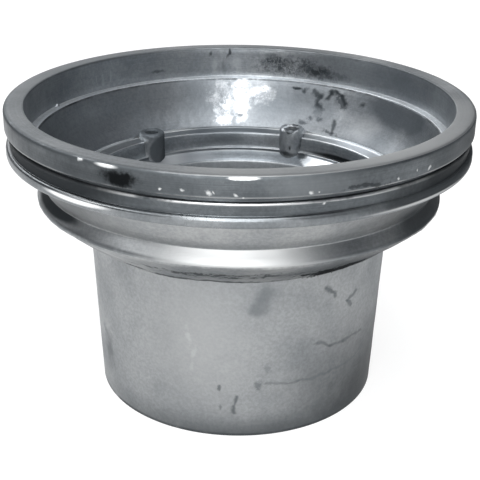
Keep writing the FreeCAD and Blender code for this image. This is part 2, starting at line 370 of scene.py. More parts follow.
beadMarks = [
    # painted shade on the bead's left and right sides, with a painted highlight streak on its left and a
    # painted highlight line on its right
    paintedShading(-66.0, 90.5, 30.0, 5.0, 0.12, 0.4),
    patch(-37.5, 90.7, 15.5, 1.3, 0.98, rough=0.28, ragged=0.02, soft=0.5, steady=True),
    paintedShading(58.0, 91.2, 66.0, 2.8, 0.03, 0.95, soft=0.6, dirtAndShade=True),
    patch(44.0, 89.6, 30.0, 0.6, 0.6, strength=0.75, ragged=0.02, soft=0.8, steady=True),
]
bowlOutsideMarks = [
    # painted shade: darker on the left and right sides and just above the crease
    paintedShading(-54.0, 84.0, 44.0, 15.0, 0.08, 0.78),
    paintedShading(54.0, 83.0, 46.0, 16.0, 0.05, 0.85),
    paintedShading(66.0, 78.0, 36.0, 8.0, 0.04, 0.85, soft=0.6, dirtAndShade=True),
    paintedShading(-4.0, 77.6, 60.0, 3.5, 0.16, 0.4),
]
beltMarks = [
    # a painted highlight across the front of the belt, and painted shade as a dark wedge on its left and on
    # its right side
    patch(0.0, 74.8, 40.0, 18.0, 0.52, rough=0.50, ragged=0.04, detail=80.0, soft=0.8, steady=True),
    patch(-62.0, 76.2, 28.0, 3.2, 0.024, ragged=0.02, soft=0.5, steady=True, dirtAndShade=True),
    paintedShading(66.0, 74.5, 46.0, 9.0, 0.032, 0.93, soft=0.6, dirtAndShade=True),
]
coneMarks = [
    # painted shade on the right and the left side
    paintedShading(40.0, 66.0, 46.0, 14.0, 0.04, 0.9, dirtAndShade=True),
    paintedShading(-54.0, 66.0, 24.0, 10.0, 0.12, 0.6),
    patch(32.0, 63.2, 13.0, 3.4, 0.010, rough=0.7, ragged=0.6, detail=330.0, soft=0.3, dirtAndShade=True),
    patch(-4.0, 66.2, 26.0, 1.8, 0.05, rough=0.7, strength=0.9, ragged=0.6, detail=420.0, worms=0.7,
          cover=0.7),
    patch(-10.0, 61.2, 28.0, 0.9, 0.06, rough=0.7, strength=0.85, ragged=0.3, detail=300.0),
    patch(-34.0, 62.7, 5.0, 1.2, 0.08, rough=0.7, strength=0.8, ragged=0.6, detail=400.0),
]
spigotMarks = [
    # painted shade along the right edge
    paintedShading(86.0, 30.0, 16.0, 60.0, 0.13, 0.75, dirtAndShade=True),
    patch(33.0, 60.2, 11.0, 1.9, 0.010, rough=0.7, ragged=0.6, detail=380.0, soft=0.3, dirtAndShade=True),
    # painted shade at the lower right and along the bottom, and painted light left of the front
    paintedShading(76.0, 0.0, 68.0, 54.0, 0.045, 0.92),
    paintedShading(12.0, 0.0, 90.0, 12.0, 0.08, 0.7),
    paintedShading(-14.0, 38.0, 26.0, 40.0, 0.42, 0.6),
    patch(-76.0, 12.0, 16.0, 16.0, 0.2, strength=0.6, ragged=0.3, detail=90.0, soft=0.9),
    patch(-62.0, 19.0, 5.0, 11.0, 0.12, strength=0.65, ragged=0.5, detail=200.0, soft=0.9),
    line((10.4, 55.2), (7.2, 49.4), 4.4, 0.16, strength=0.7, waver=0.1),
    patch(-18.2, 37.4, 1.3, 4.2, 0.6, rough=0.6, strength=0.26, ragged=0.8, detail=420.0, soft=0.9),
    patch(-15.6, 32.0, 1.1, 3.2, 0.6, rough=0.6, strength=0.20, ragged=0.8, detail=420.0, soft=0.9),
    patch(-16.6, 26.6, 0.9, 3.2, 0.6, rough=0.6, strength=0.16, ragged=0.8, detail=420.0, soft=0.9),
    # painted shade at the lower right
    paintedShading(60.0, 6.0, 24.0, 16.0, 0.05, 0.5),
    patch(7.8, 20.4, 1.7, 2.5, 0.14, strength=0.7, ragged=0.5, detail=500.0, soft=0.7),
    patch(11.2, 26.4, 1.6, 2.6, 0.18, strength=0.45, ragged=0.6, detail=450.0, soft=0.8),
    patch(-6.1, 19.4, 0.9, 1.7, 0.10, strength=0.75, ragged=0.35, detail=650.0, soft=0.7),
    patch(-5.4, 12.2, 0.9, 2.3, 0.12, strength=0.6, ragged=0.5, detail=600.0, soft=0.7),
    line((33.1, 53.2), (36.9, 49.8), 1.5, 0.10, strength=0.75, waver=0.4),
]
spigotMarks += polyline([(48.8, 48.6), (44.3, 45.7), (47.4, 43.1)], 1.0, 0.12, 0.7)
spigotMarks += polyline([(31.0, 33.6), (37.3, 30.2), (43.7, 30.0), (55.8, 29.5)], 1.0, 0.10, 0.55)
spigotMarks += polyline([(10.5, 20.6), (24.6, 19.7), (38.4, 20.3), (53.7, 20.6), (59.7, 24.2)],
                        0.9, 0.13, 0.45)
spigotMarks += polyline([(-1.9, 9.8), (-0.9, 15.5)], 1.0, 0.10, 0.75)
bowlMarks = [
    # painted shade beside the lamp's reflection on the back wall
    paintedShading(14.0, 84.0, 30.0, 16.0, 0.16, 0.75),
    paintedShading(-15.0, 84.0, 18.0, 16.0, 0.18, 0.7),
    # a painted highlight on smoother patches of the back wall, broken up by the crazing below
    patch(-5.6, 84.5, 7.4, 8.5, 0.50, rough=0.32, strength=0.7, ragged=0.7, detail=330.0, soft=0.9),
    patch(7.0, 87.6, 8.0, 5.4, 0.42, rough=0.32, strength=0.7, ragged=0.7, detail=330.0, soft=0.9),
    patch(0.6, 84.0, 4.8, 11.0, 0.58, rough=0.30, ragged=0.5, detail=260.0, soft=0.8),
    patch(6.0, 89.0, 5.0, 2.6, 0.60, rough=0.32, strength=0.9, ragged=0.5, detail=360.0, soft=0.8),
    patch(-6.0, 77.8, 5.0, 2.4, 0.70, rough=0.30, ragged=0.5, detail=360.0, soft=0.8),
    crazing(-6.0, 84.0, 5.0, 7.0, 0.20, strength=0.7, cover=0.55, wormScale=300.0),
    crazing(7.6, 86.6, 6.0, 4.6, 0.20, strength=0.6, cover=0.5, wormScale=320.0),
    crazing(0.5, 85.0, 4.8, 9.0, 0.26, strength=0.5, cover=0.4, wormScale=380.0),
    patch(-0.3, 79.0, 2.4, 1.4, 0.12, strength=0.85, ragged=0.4, detail=400.0, soft=0.8),
    patch(33.0, 83.0, 9.0, 6.5, 0.17, strength=0.4, ragged=0.6, detail=200.0, soft=0.9),
    patch(23.8, 77.4, 3.2, 1.5, 0.06, strength=0.8, ragged=0.5, detail=400.0, soft=0.8),
    patch(62.0, 89.5, 22.0, 7.5, 0.17, rough=0.4, strength=0.65, ragged=0.15, detail=110.0, soft=0.4),
    # painted light and shade on the right of the wall
    paintedShading(49.0, 80.5, 13.0, 7.0, 0.45, 0.6),
    paintedShading(60.0, 77.5, 16.0, 5.0, 0.16, 0.6),
    patch(20.0, 90.2, 4.6, 1.0, 0.04, ragged=0.4, detail=350.0, soft=0.8),
    patch(23.0, 89.6, 1.8, 1.4, 0.05, strength=0.9, ragged=0.4, detail=350.0, soft=0.8),
    patch(28.0, 84.0, 3.0, 5.0, 0.10, strength=0.7, ragged=0.5, detail=300.0, soft=0.9),
    patch(36.0, 87.4, 4.6, 2.6, 0.07, strength=0.75, ragged=0.5, detail=320.0, worms=0.7, cover=0.7),
    patch(44.8, 88.0, 2.6, 1.8, 0.06, strength=0.85, ragged=0.4, detail=300.0, soft=0.8),
    patch(26.4, 79.4, 1.6, 1.2, 0.07, strength=0.8, ragged=0.4, detail=450.0, soft=0.8),
    patch(30.0, 79.6, 1.8, 1.4, 0.08, strength=0.8, ragged=0.4, detail=450.0, soft=0.8),
    patch(36.0, 76.6, 4.8, 0.9, 0.06, strength=0.75, ragged=0.5, detail=400.0, soft=0.8),
    line((35.9, 80.2), (36.8, 76.4), 1.6, 0.05, strength=0.8),
]
bowlMarks += polyline([(26.0, 89.6), (28.6, 88.4), (27.6, 85.4), (29.4, 83.2)], 1.5, 0.05, 0.8)
bowlMarks += polyline([(31.2, 87.2), (31.8, 89.6), (34.0, 90.2), (36.4, 89.2), (38.2, 87.6)],
                      1.5, 0.04, 0.85)
rimBoreMarks = [
    patch(12.0, 98.8, 12.0, 5.6, 0.12, strength=0.7, ragged=0.8, detail=240.0, soft=0.9),
    patch(24.0, 97.4, 11.0, 5.0, 0.09, strength=0.8, ragged=0.8, detail=240.0, soft=0.9),
    patch(12.6, 99.2, 9.0, 3.0, 0.05, strength=0.75, ragged=0.6, detail=300.0, soft=0.8),
    patch(25.0, 96.8, 9.0, 3.0, 0.04, strength=0.85, ragged=0.6, detail=330.0, soft=0.8),
    crazing(18.0, 98.0, 22.0, 5.4, 0.05, strength=0.6, cover=0.45, wormScale=330.0, soft=0.8),
    crazing(17.0, 98.6, 20.0, 5.0, 0.55, strength=0.25, cover=0.4, wormScale=290.0, ragged=0.5,
            detail=260.0, soft=0.8),
    patch(33.0, 95.8, 7.0, 2.6, 0.10, strength=0.6, ragged=0.6, detail=350.0, soft=0.9),
    # painted shade on the right side
    paintedShading(55.0, 98.5, 40.0, 9.0, 0.2, 0.6),
    patch(-10.1, 102.4, 0.9, 1.8, 0.06, strength=0.8, ragged=0.2, detail=600.0, soft=0.8),
    patch(-3.7, 102.2, 1.0, 2.4, 0.04, strength=0.9, ragged=0.2, detail=600.0, soft=0.8),
    patch(-27.0, 96.3, 4.0, 1.2, 0.08, strength=0.7, ragged=0.3, detail=500.0, soft=0.8),
    patch(-8.0, 98.0, 2.4, 5.0, 0.6, strength=0.3, ragged=0.4, detail=300.0, soft=0.9),
    patch(-1.0, 98.0, 3.0, 5.0, 0.6, strength=0.3, ragged=0.4, detail=300.0, soft=0.9),
    patch(-5.0, 97.0, 1.0, 5.0, 0.12, strength=0.4, ragged=0.3, detail=300.0, soft=0.9),
    line((-44.0, 99.0), (-44.3, 95.5), 0.6, 0.6, strength=0.3),
    line((-47.2, 98.0), (-47.4, 95.0), 0.7, 0.6, strength=0.35),
    line((-49.5, 98.5), (-49.7, 96.0), 0.5, 0.6, strength=0.25),
]
rimTopMarks = [
    # painted shading round the rim top: darker at the back, lighter at the front and on the right
    paintedShading(-122.0, rimTop, 100.0, 10.0, 0.145, 0.7),
    paintedShading(162.0, rimTop, 44.0, 10.0, 0.145, 0.75),
    paintedShading(42.0, rimTop, 70.0, 10.0, 0.44, 0.8),
    paintedShading(1.0, rimTop, 30.0, 10.0, 0.40, 0.6),
    paintedShading(80.0, rimTop, 26.0, 10.0, 0.38, 0.6),
]
ledgeMarks = [
    # a painted highlight on the right of the ledge, painted shade in its middle
    paintedShading(50.0, 74.6, 26.0, 4.0, 0.95, 0.9),
    paintedShading(-2.0, 74.6, 30.0, 6.0, 0.21, 0.9, soft=0.6),
]
bossMarks = [
    patch(22.0, 77.9, 7.0, 0.9, 0.05, strength=0.85, ragged=0.4, detail=500.0, worms=0.8, cover=0.7),
    # painted shade on the right side and at the foot of the right boss
    patch(27.2, 71.0, 2.4, 8.0, 0.03, strength=0.85, ragged=0.25, detail=300.0, soft=0.8),
    patch(22.0, 67.4, 9.0, 1.8, 0.03, strength=0.8, ragged=0.3, detail=300.0, soft=0.8),
    patch(23.4, 70.6, 1.2, 1.6, 0.02, strength=0.8, ragged=0.4, detail=400.0, soft=0.8),
    # painted light on the right boss's left side, and a painted highlight on its top
    patch(20.0, 72.8, 2.6, 3.6, 0.5, strength=0.4, ragged=0.5, detail=400.0, soft=0.9),
    patch(19.6, 77.2, 1.1, 0.8, 0.98, ragged=0.2, detail=500.0, soft=0.6),
    # on the left boss: painted shade and a rougher edge in place of its top edge's highlight, painted shade
    # on its shaded face, painted light on its left side
    patch(-38.0, 77.4, 10.0, 1.2, 0.16, rough=0.7, strength=0.95, ragged=0.1, detail=300.0, soft=0.3),
    patch(-35.4, 70.8, 10.6, 7.4, 0.055, rough=0.6, strength=0.95, ragged=0.03, soft=0.2, steady=True,
          dirtAndShade=True),
    patch(-43.4, 71.6, 1.1, 5.6, 0.55, strength=0.7, ragged=0.1, soft=0.8, steady=True),
    patch(-42.8, 75.6, 1.7, 2.0, 0.70, strength=0.8, ragged=0.3, detail=400.0, soft=0.9),
]
neckMarks = [
    # painted shade: dark on the right, darker in the middle
    paintedShading(50.0, 69.3, 24.0, 1.6, 0.01, 0.95, soft=0.5),
    paintedShading(-5.0, 72.0, 12.0, 5.0, 0.12, 0.85),
]
throatMarks = [
    # a painted highlight on smoother metal at the right, painted light on the left between the bosses
    patch(43.0, 66.6, 14.0, 4.0, 0.95, rough=0.3, ragged=0.1, soft=0.2),
    paintedShading(-32.0, 66.4, 12.0, 5.0, 0.46, 0.95),
    paintedShading(-20.0, 66.4, 12.0, 5.0, 0.28, 0.8),
    patch(27.8, 67.4, 3.0, 1.7, 0.03, rough=0.6, strength=0.9, detail=300.0, soft=0.6, dirtAndShade=True),
]

# look of each zone: metal grey, roughness, mottling, grain bump, lathe lines; the wall that its marks lie
# on; and the edges painted along it, lighter or darker: corner, metal grey, roughness, width in mm
# darker, rougher edges: painted shade on the round where a lamp would catch it
dullShadedRim = ("rimOuter", 0.11, 0.6, 1.6)
dullShadedMouth = ("rimInner", 0.20, 0.6, 1.0)
# the metal greys differ from zone to zone partly by finish (as cast, turned, oxidised) and partly as painted
# light and shade for how each zone faces the lamps
zones = {
    "rimTop": {"metal": 0.235, "rough": 0.50, "mottle": 0.10, "bump": 0.05, "lines": 0.10,
               "marks": rimTopMarks, "edges": [dullShadedRim, dullShadedMouth]},
    "rimBore": {"metal": 0.34, "rough": 0.40, "mottle": 0.22, "bump": 0.10, "lines": 0.06, "inside": True,
                "marks": rimBoreMarks, "edges": [dullShadedMouth]},
    "band": {"metal": 0.125, "rough": 0.42, "mottle": 0.28, "bump": 0.08, "lines": 0.10,
             "marks": bandMarks + bandChipGlints + rimGlints, "edges": [("bandFoot", 0.35, 0.35, 0.8), dullShadedRim]},
    "collar": {"metal": 0.13, "rough": 0.28, "mottle": 0.15, "bump": 0.05, "lines": 0.08,
               "marks": collarMarks, "edges": [("collarEdge", 0.75, 0.3, 1.0)]},
    "bead": {"metal": 0.24, "rough": 0.28, "mottle": 0.20, "bump": 0.05, "lines": 0.05, "marks": beadMarks},
    "bowlOutside": {"metal": 0.36, "rough": 0.36, "mottle": 0.12, "bump": 0.06, "lines": 0.04,
                    "marks": bowlOutsideMarks},
    "belt": {"metal": 0.3, "rough": 0.38, "mottle": 0.12, "bump": 0.06, "lines": 0.04, "marks": beltMarks,
             "edges": [("beltEdge", 0.16, 0.5, 2.0)]},
    "cone": {"metal": 0.32, "rough": 0.46, "mottle": 0.30, "bump": 0.25, "lines": 0.05, "marks": coneMarks},
    "spigot": {"metal": 0.305, "rough": 0.52, "mottle": 0.10, "bump": 0.10, "lines": 0.0,
               "marks": spigotMarks, "edges": [("spigotEnd", 0.05, 0.6, 1.6)]},
    "seat": {"metal": 0.70, "rough": 0.50, "mottle": 0.20, "bump": 0.10, "lines": 0.10, "inside": True,
             "marks": []},
    "bowlInside": {"metal": 0.3, "rough": 0.44, "mottle": 0.16, "bump": 0.06, "lines": 0.05, "inside": True,
                   "waves": 0.35, "marks": bowlMarks, "edges": [("seatEdge", 0.05, 0.5, 1.2)]},
    "ledge": {"metal": 0.36, "rough": 0.45, "mottle": 0.25, "bump": 0.12, "lines": 0.05, "inside": True,
              "marks": ledgeMarks, "edges": [("ledgeEdge", 0.85, 0.3, 1.0), ("wallFoot", 0.95, 0.35, 1.3)]},
    "neck": {"metal": 0.30, "rough": 0.40, "mottle": 0.25, "bump": 0.12, "lines": 0.05, "inside": True,
             "marks": neckMarks, "edges": [("stepEdge", 0.60, 0.35, 1.0)]},
    "throat": {"metal": 0.185, "rough": 0.38, "mottle": 0.12, "bump": 0.06, "lines": 0.08, "inside": True,
               "marks": throatMarks, "edges": [("stepFoot", 0.20, 0.4, 1.0)]},
    "bore": {"metal": 0.43, "rough": 0.45, "mottle": 0.2, "bump": 0.10, "lines": 0.0, "inside": True,
             "marks": []},
    "boss": {"metal": 0.36, "rough": 0.48, "mottle": 0.5, "bump": 0.30, "lines": 0.0, "inside": True,
             "marks": bossMarks},
}
zoneNames = list(zones)

# what all zones share; only dirt and painted shade, which are dull, are not metal and show the specular
# level
surface = {"speckle": 0.1, "roughSpread": 0.15, "edgeWearAndLight": 0.85, "lineHeight": 0.5, "waveScale": 260.0,
           "bumpDepth": 0.0004, "dirtAndShadeSpecular": 0.02}

# the casting: corners of its half section as inset from the rim, drop from the rim top and round,
# in mm, each with the zone of the surface that runs on to the next corner
section = [
    ("spigotEnd", 29.6, rimTop, 0.3, "spigot"),
    ("spigotRoot", 27.0, 44.5, 0.9, "cone"),
    ("shoulderEdge", 24.4, 44.5, 0.8, "cone"),
    ("beltEdge", 8.8, 32.2, 1.4, "belt"),
    ("crease", 12.0, 27.5, 0.4, "bowlOutside"),
    ("beadRoot", 5.2, 15.9, 1.2, "bead"),
    ("beadLower", 0.05, 15.9, 0.6, "bead"),
    ("beadUpper", 0.05, 12.6, 1.1, "bead"),
    ("collarFoot", 1.5, 12.6, 0.2, "collar"),
    ("collarEdge", 0.8, 8.4, 0.7, "collar"),
    ("grooveLower", 2.2, 8.4, 0.2, "band"),
    ("grooveUpper", 2.2, 6.8, 0.2, "band"),
    ("bandFoot", 0.0, 6.8, 0.5, "band"),
    ("rimOuter", 0.0, 0.0, 1.1, "rimTop"),
    ("rimInner", rimRadius - grateRadius, 0.0, 0.35, "rimBore"),
    ("seatCorner", rimRadius - grateRadius, 11.7, 0.3, "seat"),
    ("seatEdge", 9.9, 11.7, 0.9, "bowlInside"),
    ("bend", 13.8, 23.2, 4.6, "bowlInside"),
    ("wallFoot", 19.5, 29.3, 0.3, "ledge"),
    ("ledgeCorner", 19.5, 30.1, 0.3, "ledge"),
    ("ledgeEdge", 25.3, 30.1, 0.7, "neck"),
    ("neckFoot", 25.9, 35.9, 0.3, "neck"),
    ("stepEdge", 27.0, 35.9, 0.35, "throat"),
    ("stepFoot", 27.0, 37.1, 0.3, "throat"),
    ("boreEdge", 31.3, 39.9, 0.9, "bore"),
    ("boreEnd", 33.9, rimTop, 0.5, "spigot"),
]
corners = {name: (rimRadius - inset, rimTop - drop) for name, inset, drop, setback, zone in section}


def markMask(tree, place, sheet, mark, radius):
    def onSheet(spot):
        return (math.radians(spot[0]) * radius * mm, spot[1] * mm, 0.0)
    if mark["kind"] == "line":
        mask = useGroup(tree, scratch, {
            "Place": place, "Sheet": sheet, "Start": onSheet(mark["start"]), "End": onSheet(mark["end"]),
            "Width": mark["width"] * mm, "Waver": mark["waver"]})["Mask"]
    else:
        wide, high = mark["size"]
        mask = useGroup(tree, stainPatch, {
            "Place": place, "Sheet": sheet, "Centre": onSheet(mark["at"]),
            "Size": (wide * mm, high * mm, 1.0), "Ragged": mark["ragged"], "Detail": mark["detail"],
            "Softness": mark["soft"]})["Mask"]
        if mark["worms"]:
            broken = useGroup(tree, crinkle, {
                "Place": place, "Scale": mark["wormScale"], "Cover": mark["cover"]})["Mask"]
            broken = mixValue(tree, mark["worms"], 1.0, broken)
            mask = mathNode(tree, "MULTIPLY", mask, broken)
    return mathNode(tree, "MULTIPLY", mask, mark["strength"])


def zoneRadius(name):
    # the bosses, which have no corner in the section, are unrolled at the rim's radius
    reached = [corners[corner][0] for corner, inset, drop, setback, zone in section if zone == name]
    return sum(reached) / len(reached) if reached else rimRadius


def plainLook(tree, place, zoneLook, cool):
    grain = useGroup(tree, castGrain, {"Place": place})
    rings = useGroup(tree, turnedLines, {"Place": place})["Lines"]
    dark = grey(zoneLook["metal"] * (1.0 - zoneLook["mottle"]), cool)
    light = grey(zoneLook["metal"] * (1.0 + zoneLook["mottle"]), cool)
    colour = mixColour(tree, spread(tree, grain["Clouds"]), dark, light)
    speckle = spread(tree, grain["Speckle"], 1.0 - surface["speckle"], 1.0 + surface["speckle"])
    drag = spread(tree, rings, 1.0 - zoneLook["lines"], 1.0 + zoneLook["lines"])
    shade = mathNode(tree, "MULTIPLY", speckle, drag)
    shade = addNode(tree, "ShaderNodeCombineColor", {0: shade, 1: shade, 2: shade}).outputs[0]
    colour = mixColour(tree, 1.0, colour, shade, "MULTIPLY")
    dullest = zoneLook["rough"] * (1.0 + surface["roughSpread"])
    shiniest = zoneLook["rough"] * (1.0 - surface["roughSpread"])
    rough = spread(tree, grain["Clouds"], dullest, shiniest)
    height = mathNode(tree, "MULTIPLY", grain["Height"], zoneLook["bump"])
    height = mathNode(tree, "MULTIPLY_ADD", rings, zoneLook["lines"] * surface["lineHeight"], height)
    if "waves" in zoneLook:
        wave = noiseNode(tree, place, surface["waveScale"], roughness=0.55)
        height = mathNode(tree, "MULTIPLY_ADD", wave, zoneLook["waves"], height)
    return colour, rough, height


# lines along rounded edges: edge wear with painted highlight lines where lighter, painted shade where darker
def paintEdgeWearAndLight(tree, place, edges, colour, rough):
    for corner, edgeMetal, edgeRough, width in edges:
        radius, height = corners[corner]
        edgeMask = useGroup(tree, ringWearAndLight, {"Place": place, "Radius": radius * mm, "Height": height * mm,
                                         "Width": width * mm})["Mask"]
        edgeMask = mathNode(tree, "MULTIPLY", edgeMask, surface["edgeWearAndLight"])
        colour = mixColour(tree, edgeMask, colour, grey(edgeMetal))
        rough = mixValue(tree, edgeMask, rough, edgeRough)
    return colour, rough


def layMarks(tree, place, marks, wall, radius, cool, colour, rough):
    metallic = 1.0  # stays a plain number where no mark is dirt and none is painted shade
    for mark in marks:
        mask = markMask(tree, place, wall["Steady" if mark["steady"] else "Sheet"], mark, radius)
        colour = mixColour(tree, mask, colour, grey(mark["metal"], cool))
        rough = mixValue(tree, mask, rough, mark["rough"])
        if mark["dirtAndShade"] or metallic != 1.0:
            metallic = mixValue(tree, mask, metallic, 0.0 if mark["dirtAndShade"] else 1.0)
    return colour, rough, metallic


def zoneMaterial(name, zoneLook):
    material = bpy.data.materials.new(name)
    material.use_nodes = True
    tree = material.node_tree
    place = tree.nodes.new("ShaderNodeTexCoord").outputs["Object"]
    radius = zoneRadius(name)
    facing, cool = (1.0, 1.0) if zoneLook.get("inside") else (-1.0, 0.0)
    wall = useGroup(tree, unrolledWall, {"Place": place, "Radius": radius * mm, "Facing": facing})
    colour, rough, height = plainLook(tree, place, zoneLook, cool)
    colour, rough = paintEdgeWearAndLight(tree, place, zoneLook.get("edges", []), colour, rough)
    colour, rough, metallic = layMarks(tree, place, zoneLook["marks"], wall, radius, cool, colour, rough)
    bump = addNode(tree, "ShaderNodeBump", {
        "Height": height, "Strength": 1.0, "Distance": surface["bumpDepth"]}).outputs[0]
    shader = tree.nodes["Principled BSDF"]
    looks = {"Base Color": colour, "Metallic": metallic, "Roughness": rough, "Normal": bump,
             "Specular IOR Level": surface["dirtAndShadeSpecular"]}
    for socket, value in looks.items():
        feed(tree, shader.inputs[socket], value)
    return material


materials = {name: zoneMaterial(name, zoneLook) for name, zoneLook in zones.items()}
print("finishes made:", len(materials))


# helpers for meshes
weldGap = 0.001 * mm


def setZones(bm, zoneAt):
    for face in bm.faces:
        face.material_index = zoneNames.index(zoneAt(face.calc_center_median()))
        face.smooth = True


def roughen(bm, skin, amountAt):
    # each vertex moves along its normal, as far in mm as a noise and amountAt say
    bm.normal_update()
    moves = []
    for vert in bm.verts:
        swell = noise.fractal(vert.co * skin["scale"], skin["falloff"], skin["step"], skin["octaves"])
        moves.append(vert.normal * (swell * amountAt(vert.co) * mm))
    for vert, move in zip(bm.verts, moves):
        vert.co += move


def spinRound(bm, geom, steps):
    bmesh.ops.spin(bm, geom=geom, cent=(0, 0, 0), axis=(0, 0, 1), angle=math.tau, steps=steps,
                   use_merge=True)
    bmesh.ops.remove_doubles(bm, verts=bm.verts[:], dist=weldGap)
    bmesh.ops.recalc_face_normals(bm, faces=bm.faces[:])


def asObject(bm, name):
    mesh = bpy.data.meshes.new(name)
    bm.to_mesh(mesh)
    bm.free()
    for zone in zoneNames:
        mesh.materials.append(materials[zone])
    piece = bpy.data.objects.new(name, mesh)
    bpy.context.scene.collection.objects.link(piece)
    return piece


# the turned casting: longest edge of the section, flat end and waver of the cast skin in mm
casting = {"steps": 320, "roundSegments": 4, "longest": 2.4, "flatEnd": 1.0, "sharpAngle": 38.0,
           "skin": {"scale": 90.0, "falloff": 0.8, "step": 2.1, "octaves": 3},
           "waver": {"cone": 0.30, "belt": 0.05, "bowlOutside": 0.05, "collar": 0.05, "band": 0.05,
                     "spigot": 0.06, "bowlInside": 0.07, "neck": 0.10, "throat": 0.04, "bore": 0.06}}


def sectionZone(radius, height):
    # zone of the nearest stretch of the section
    best, bestGap = None, math.inf
    spot = Vector((radius, height))
    for (name, inset, drop, setback, zone), following in zip(section, section[1:] + section[:1]):
        start = Vector(corners[name])
        along = Vector(corners[following[0]]) - start
        share = max(0.0, min(1.0, (spot - start).dot(along) / along.length_squared))
        gap = (start + along * share - spot).length
        if gap < bestGap:
            best, bestGap = zone, gap
    return best


def castingMesh():
    bm = bmesh.new()
    points = [bm.verts.new((corners[name][0] * mm, 0.0, corners[name][1] * mm))
              for name, inset, drop, setback, zone in section]
    bm.faces.new(points)
    for point, (name, inset, drop, setback, zone) in zip(points, section):
        bmesh.ops.bevel(bm, geom=[point], offset=setback * mm, offset_type="OFFSET", affect="VERTICES",
                        segments=casting["roundSegments"], profile=0.5, material=-1)
    bmesh.ops.delete(bm, geom=bm.faces[:], context="FACES_ONLY")
    for edge in bm.edges[:]:
        cuts = int(edge.calc_length() / (casting["longest"] * mm))
        if cuts:
            bmesh.ops.subdivide_edges(bm, edges=[edge], cuts=cuts)
    spinRound(bm, bm.verts[:] + bm.edges[:], casting["steps"])
    found = {}

    def zoneAt(place):
        key = (round(math.hypot(place.x, place.y) / mm, 1), round(place.z / mm, 1))
        if key not in found:
            found[key] = sectionZone(*key)
        return found[key]

    def waverAt(place):
        return casting["waver"].get(zoneAt(place), 0.0) if place.z > casting["flatEnd"] * mm else 0.0

    setZones(bm, zoneAt)
    roughen(bm, casting["skin"], waverAt)
    return asObject(bm, "drainCasting")


# screw bosses round the neck, six, each with a blind hole: first in degrees from +X, sizes in mm
screws = mounts["boss_screws"]
bosses = {"first": 68.0, "radius": 4.9, "height": 12.2, "round": 1.0, "roundSegments": 4, "steps": 48,
          "rings": 8, "holeDepth": 8.5, "holeSteps": 40, "point": 0.5, "mouth": 0.5, "roughness": 0.22,
          "skin": {"scale": 420.0, "falloff": 0.7, "step": 2.0, "octaves": 3}}
bossCount = screws["dims"]["count"]
bossRing = screws["dims"]["pcd_mm"] / 2
bossTop = screws["pos_m"][2] / mm
holeRadius = screws["dims"]["hole_r_mm"]
# a small lump of cast metal at the grate seat
lump = {"angle": 159.0, "radius": 72.8, "height": 92.8, "size": 0.9, "subdivisions": 3}


def aboutAxis(angle):
    return Matrix.Rotation(math.radians(angle), 4, "Z")


def bossZone(place):
    return "boss"


def bossRoughness(place):
    return bosses["roughness"]


def copyRound(bm):
    # the other bosses or holes, evenly round the axis from the first
    bmesh.ops.spin(bm, geom=bm.verts[:] + bm.edges[:] + bm.faces[:], cent=(0, 0, 0), axis=(0, 0, 1),
                   angle=math.tau * (bossCount - 1) / bossCount, steps=bossCount - 1, use_duplicate=True)
    bmesh.ops.transform(bm, matrix=aboutAxis(bosses["first"]), verts=bm.verts[:])


def bossMesh():
    bm = bmesh.new()
    middle = Vector((bossRing, 0.0, bossTop - bosses["height"] / 2)) * mm
    bmesh.ops.create_cone(bm, cap_ends=True, segments=bosses["steps"], radius1=bosses["radius"] * mm,
                          radius2=bosses["radius"] * mm, depth=bosses["height"] * mm,
                          matrix=Matrix.Translation(middle))
    walls = [edge for edge in bm.edges if abs(edge.verts[0].co.z - edge.verts[1].co.z) > mm]
    rims = [edge for edge in bm.edges if edge not in walls]
    bmesh.ops.subdivide_edges(bm, edges=walls, cuts=bosses["rings"], use_grid_fill=True)
    rims = [edge for edge in rims if edge.is_valid]
    bmesh.ops.bevel(bm, geom=rims, offset=bosses["round"] * mm, offset_type="OFFSET", affect="EDGES",
                    segments=bosses["roundSegments"], profile=0.5, material=-1)
    copyRound(bm)
    place = aboutAxis(lump["angle"]) @ Vector((lump["radius"] * mm, 0.0, lump["height"] * mm))
    bmesh.ops.create_icosphere(bm, subdivisions=lump["subdivisions"], radius=lump["size"] * mm,
                               matrix=Matrix.Translation(place))
    bmesh.ops.recalc_face_normals(bm, faces=bm.faces[:])
    roughen(bm, bosses["skin"], bossRoughness)
    setZones(bm, bossZone)
    return asObject(bm, "bossBlanks")


def holeMesh():
    # a drill's shape: cone point, straight hole, broken edge at the mouth
    bm = bmesh.new()
    depth, mouth = bosses["holeDepth"], bosses["mouth"]
    outline = [(0.0, -depth - bosses["point"] * holeRadius), (holeRadius, -depth), (holeRadius, -mouth),
               (holeRadius + 2 * mouth, mouth), (0.0, mouth)]
    points = [bm.verts.new((along * mm, 0.0, (bossTop + rise) * mm)) for along, rise in outline]
    edges = [bm.edges.new(pair) for pair in zip(points, points[1:])]
    spinRound(bm, points + edges, bosses["holeSteps"])
    bmesh.ops.translate(bm, verts=bm.verts[:], vec=(bossRing * mm, 0, 0))
    copyRound(bm)
    setZones(bm, bossZone)
    return asObject(bm, "screwHoles")


def joinMeshes(piece, other, operation):
    change = piece.modifiers.new(other.name, "BOOLEAN")
    change.operation = operation
    change.solver = "MANIFOLD"
    change.object = other
    bpy.context.view_layer.update()
    shown = piece.evaluated_get(bpy.context.evaluated_depsgraph_get())
    joined = bpy.data.meshes.new_from_object(shown)
    joined.name = piece.name
    piece.modifiers.clear()
    piece.data = joined
    bpy.data.objects.remove(other)


drain = castingMesh()
print("casting turned:", len(drain.data.polygons), "faces")
joinMeshes(drain, bossMesh(), "UNION")
joinMeshes(drain, holeMesh(), "DIFFERENCE")
drain.data.set_sharp_from_angle(angle=math.radians(casting["sharpAngle"]))
print("bosses joined:", len(drain.data.polygons), "faces")
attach(drain, "root")
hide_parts("drain_body")


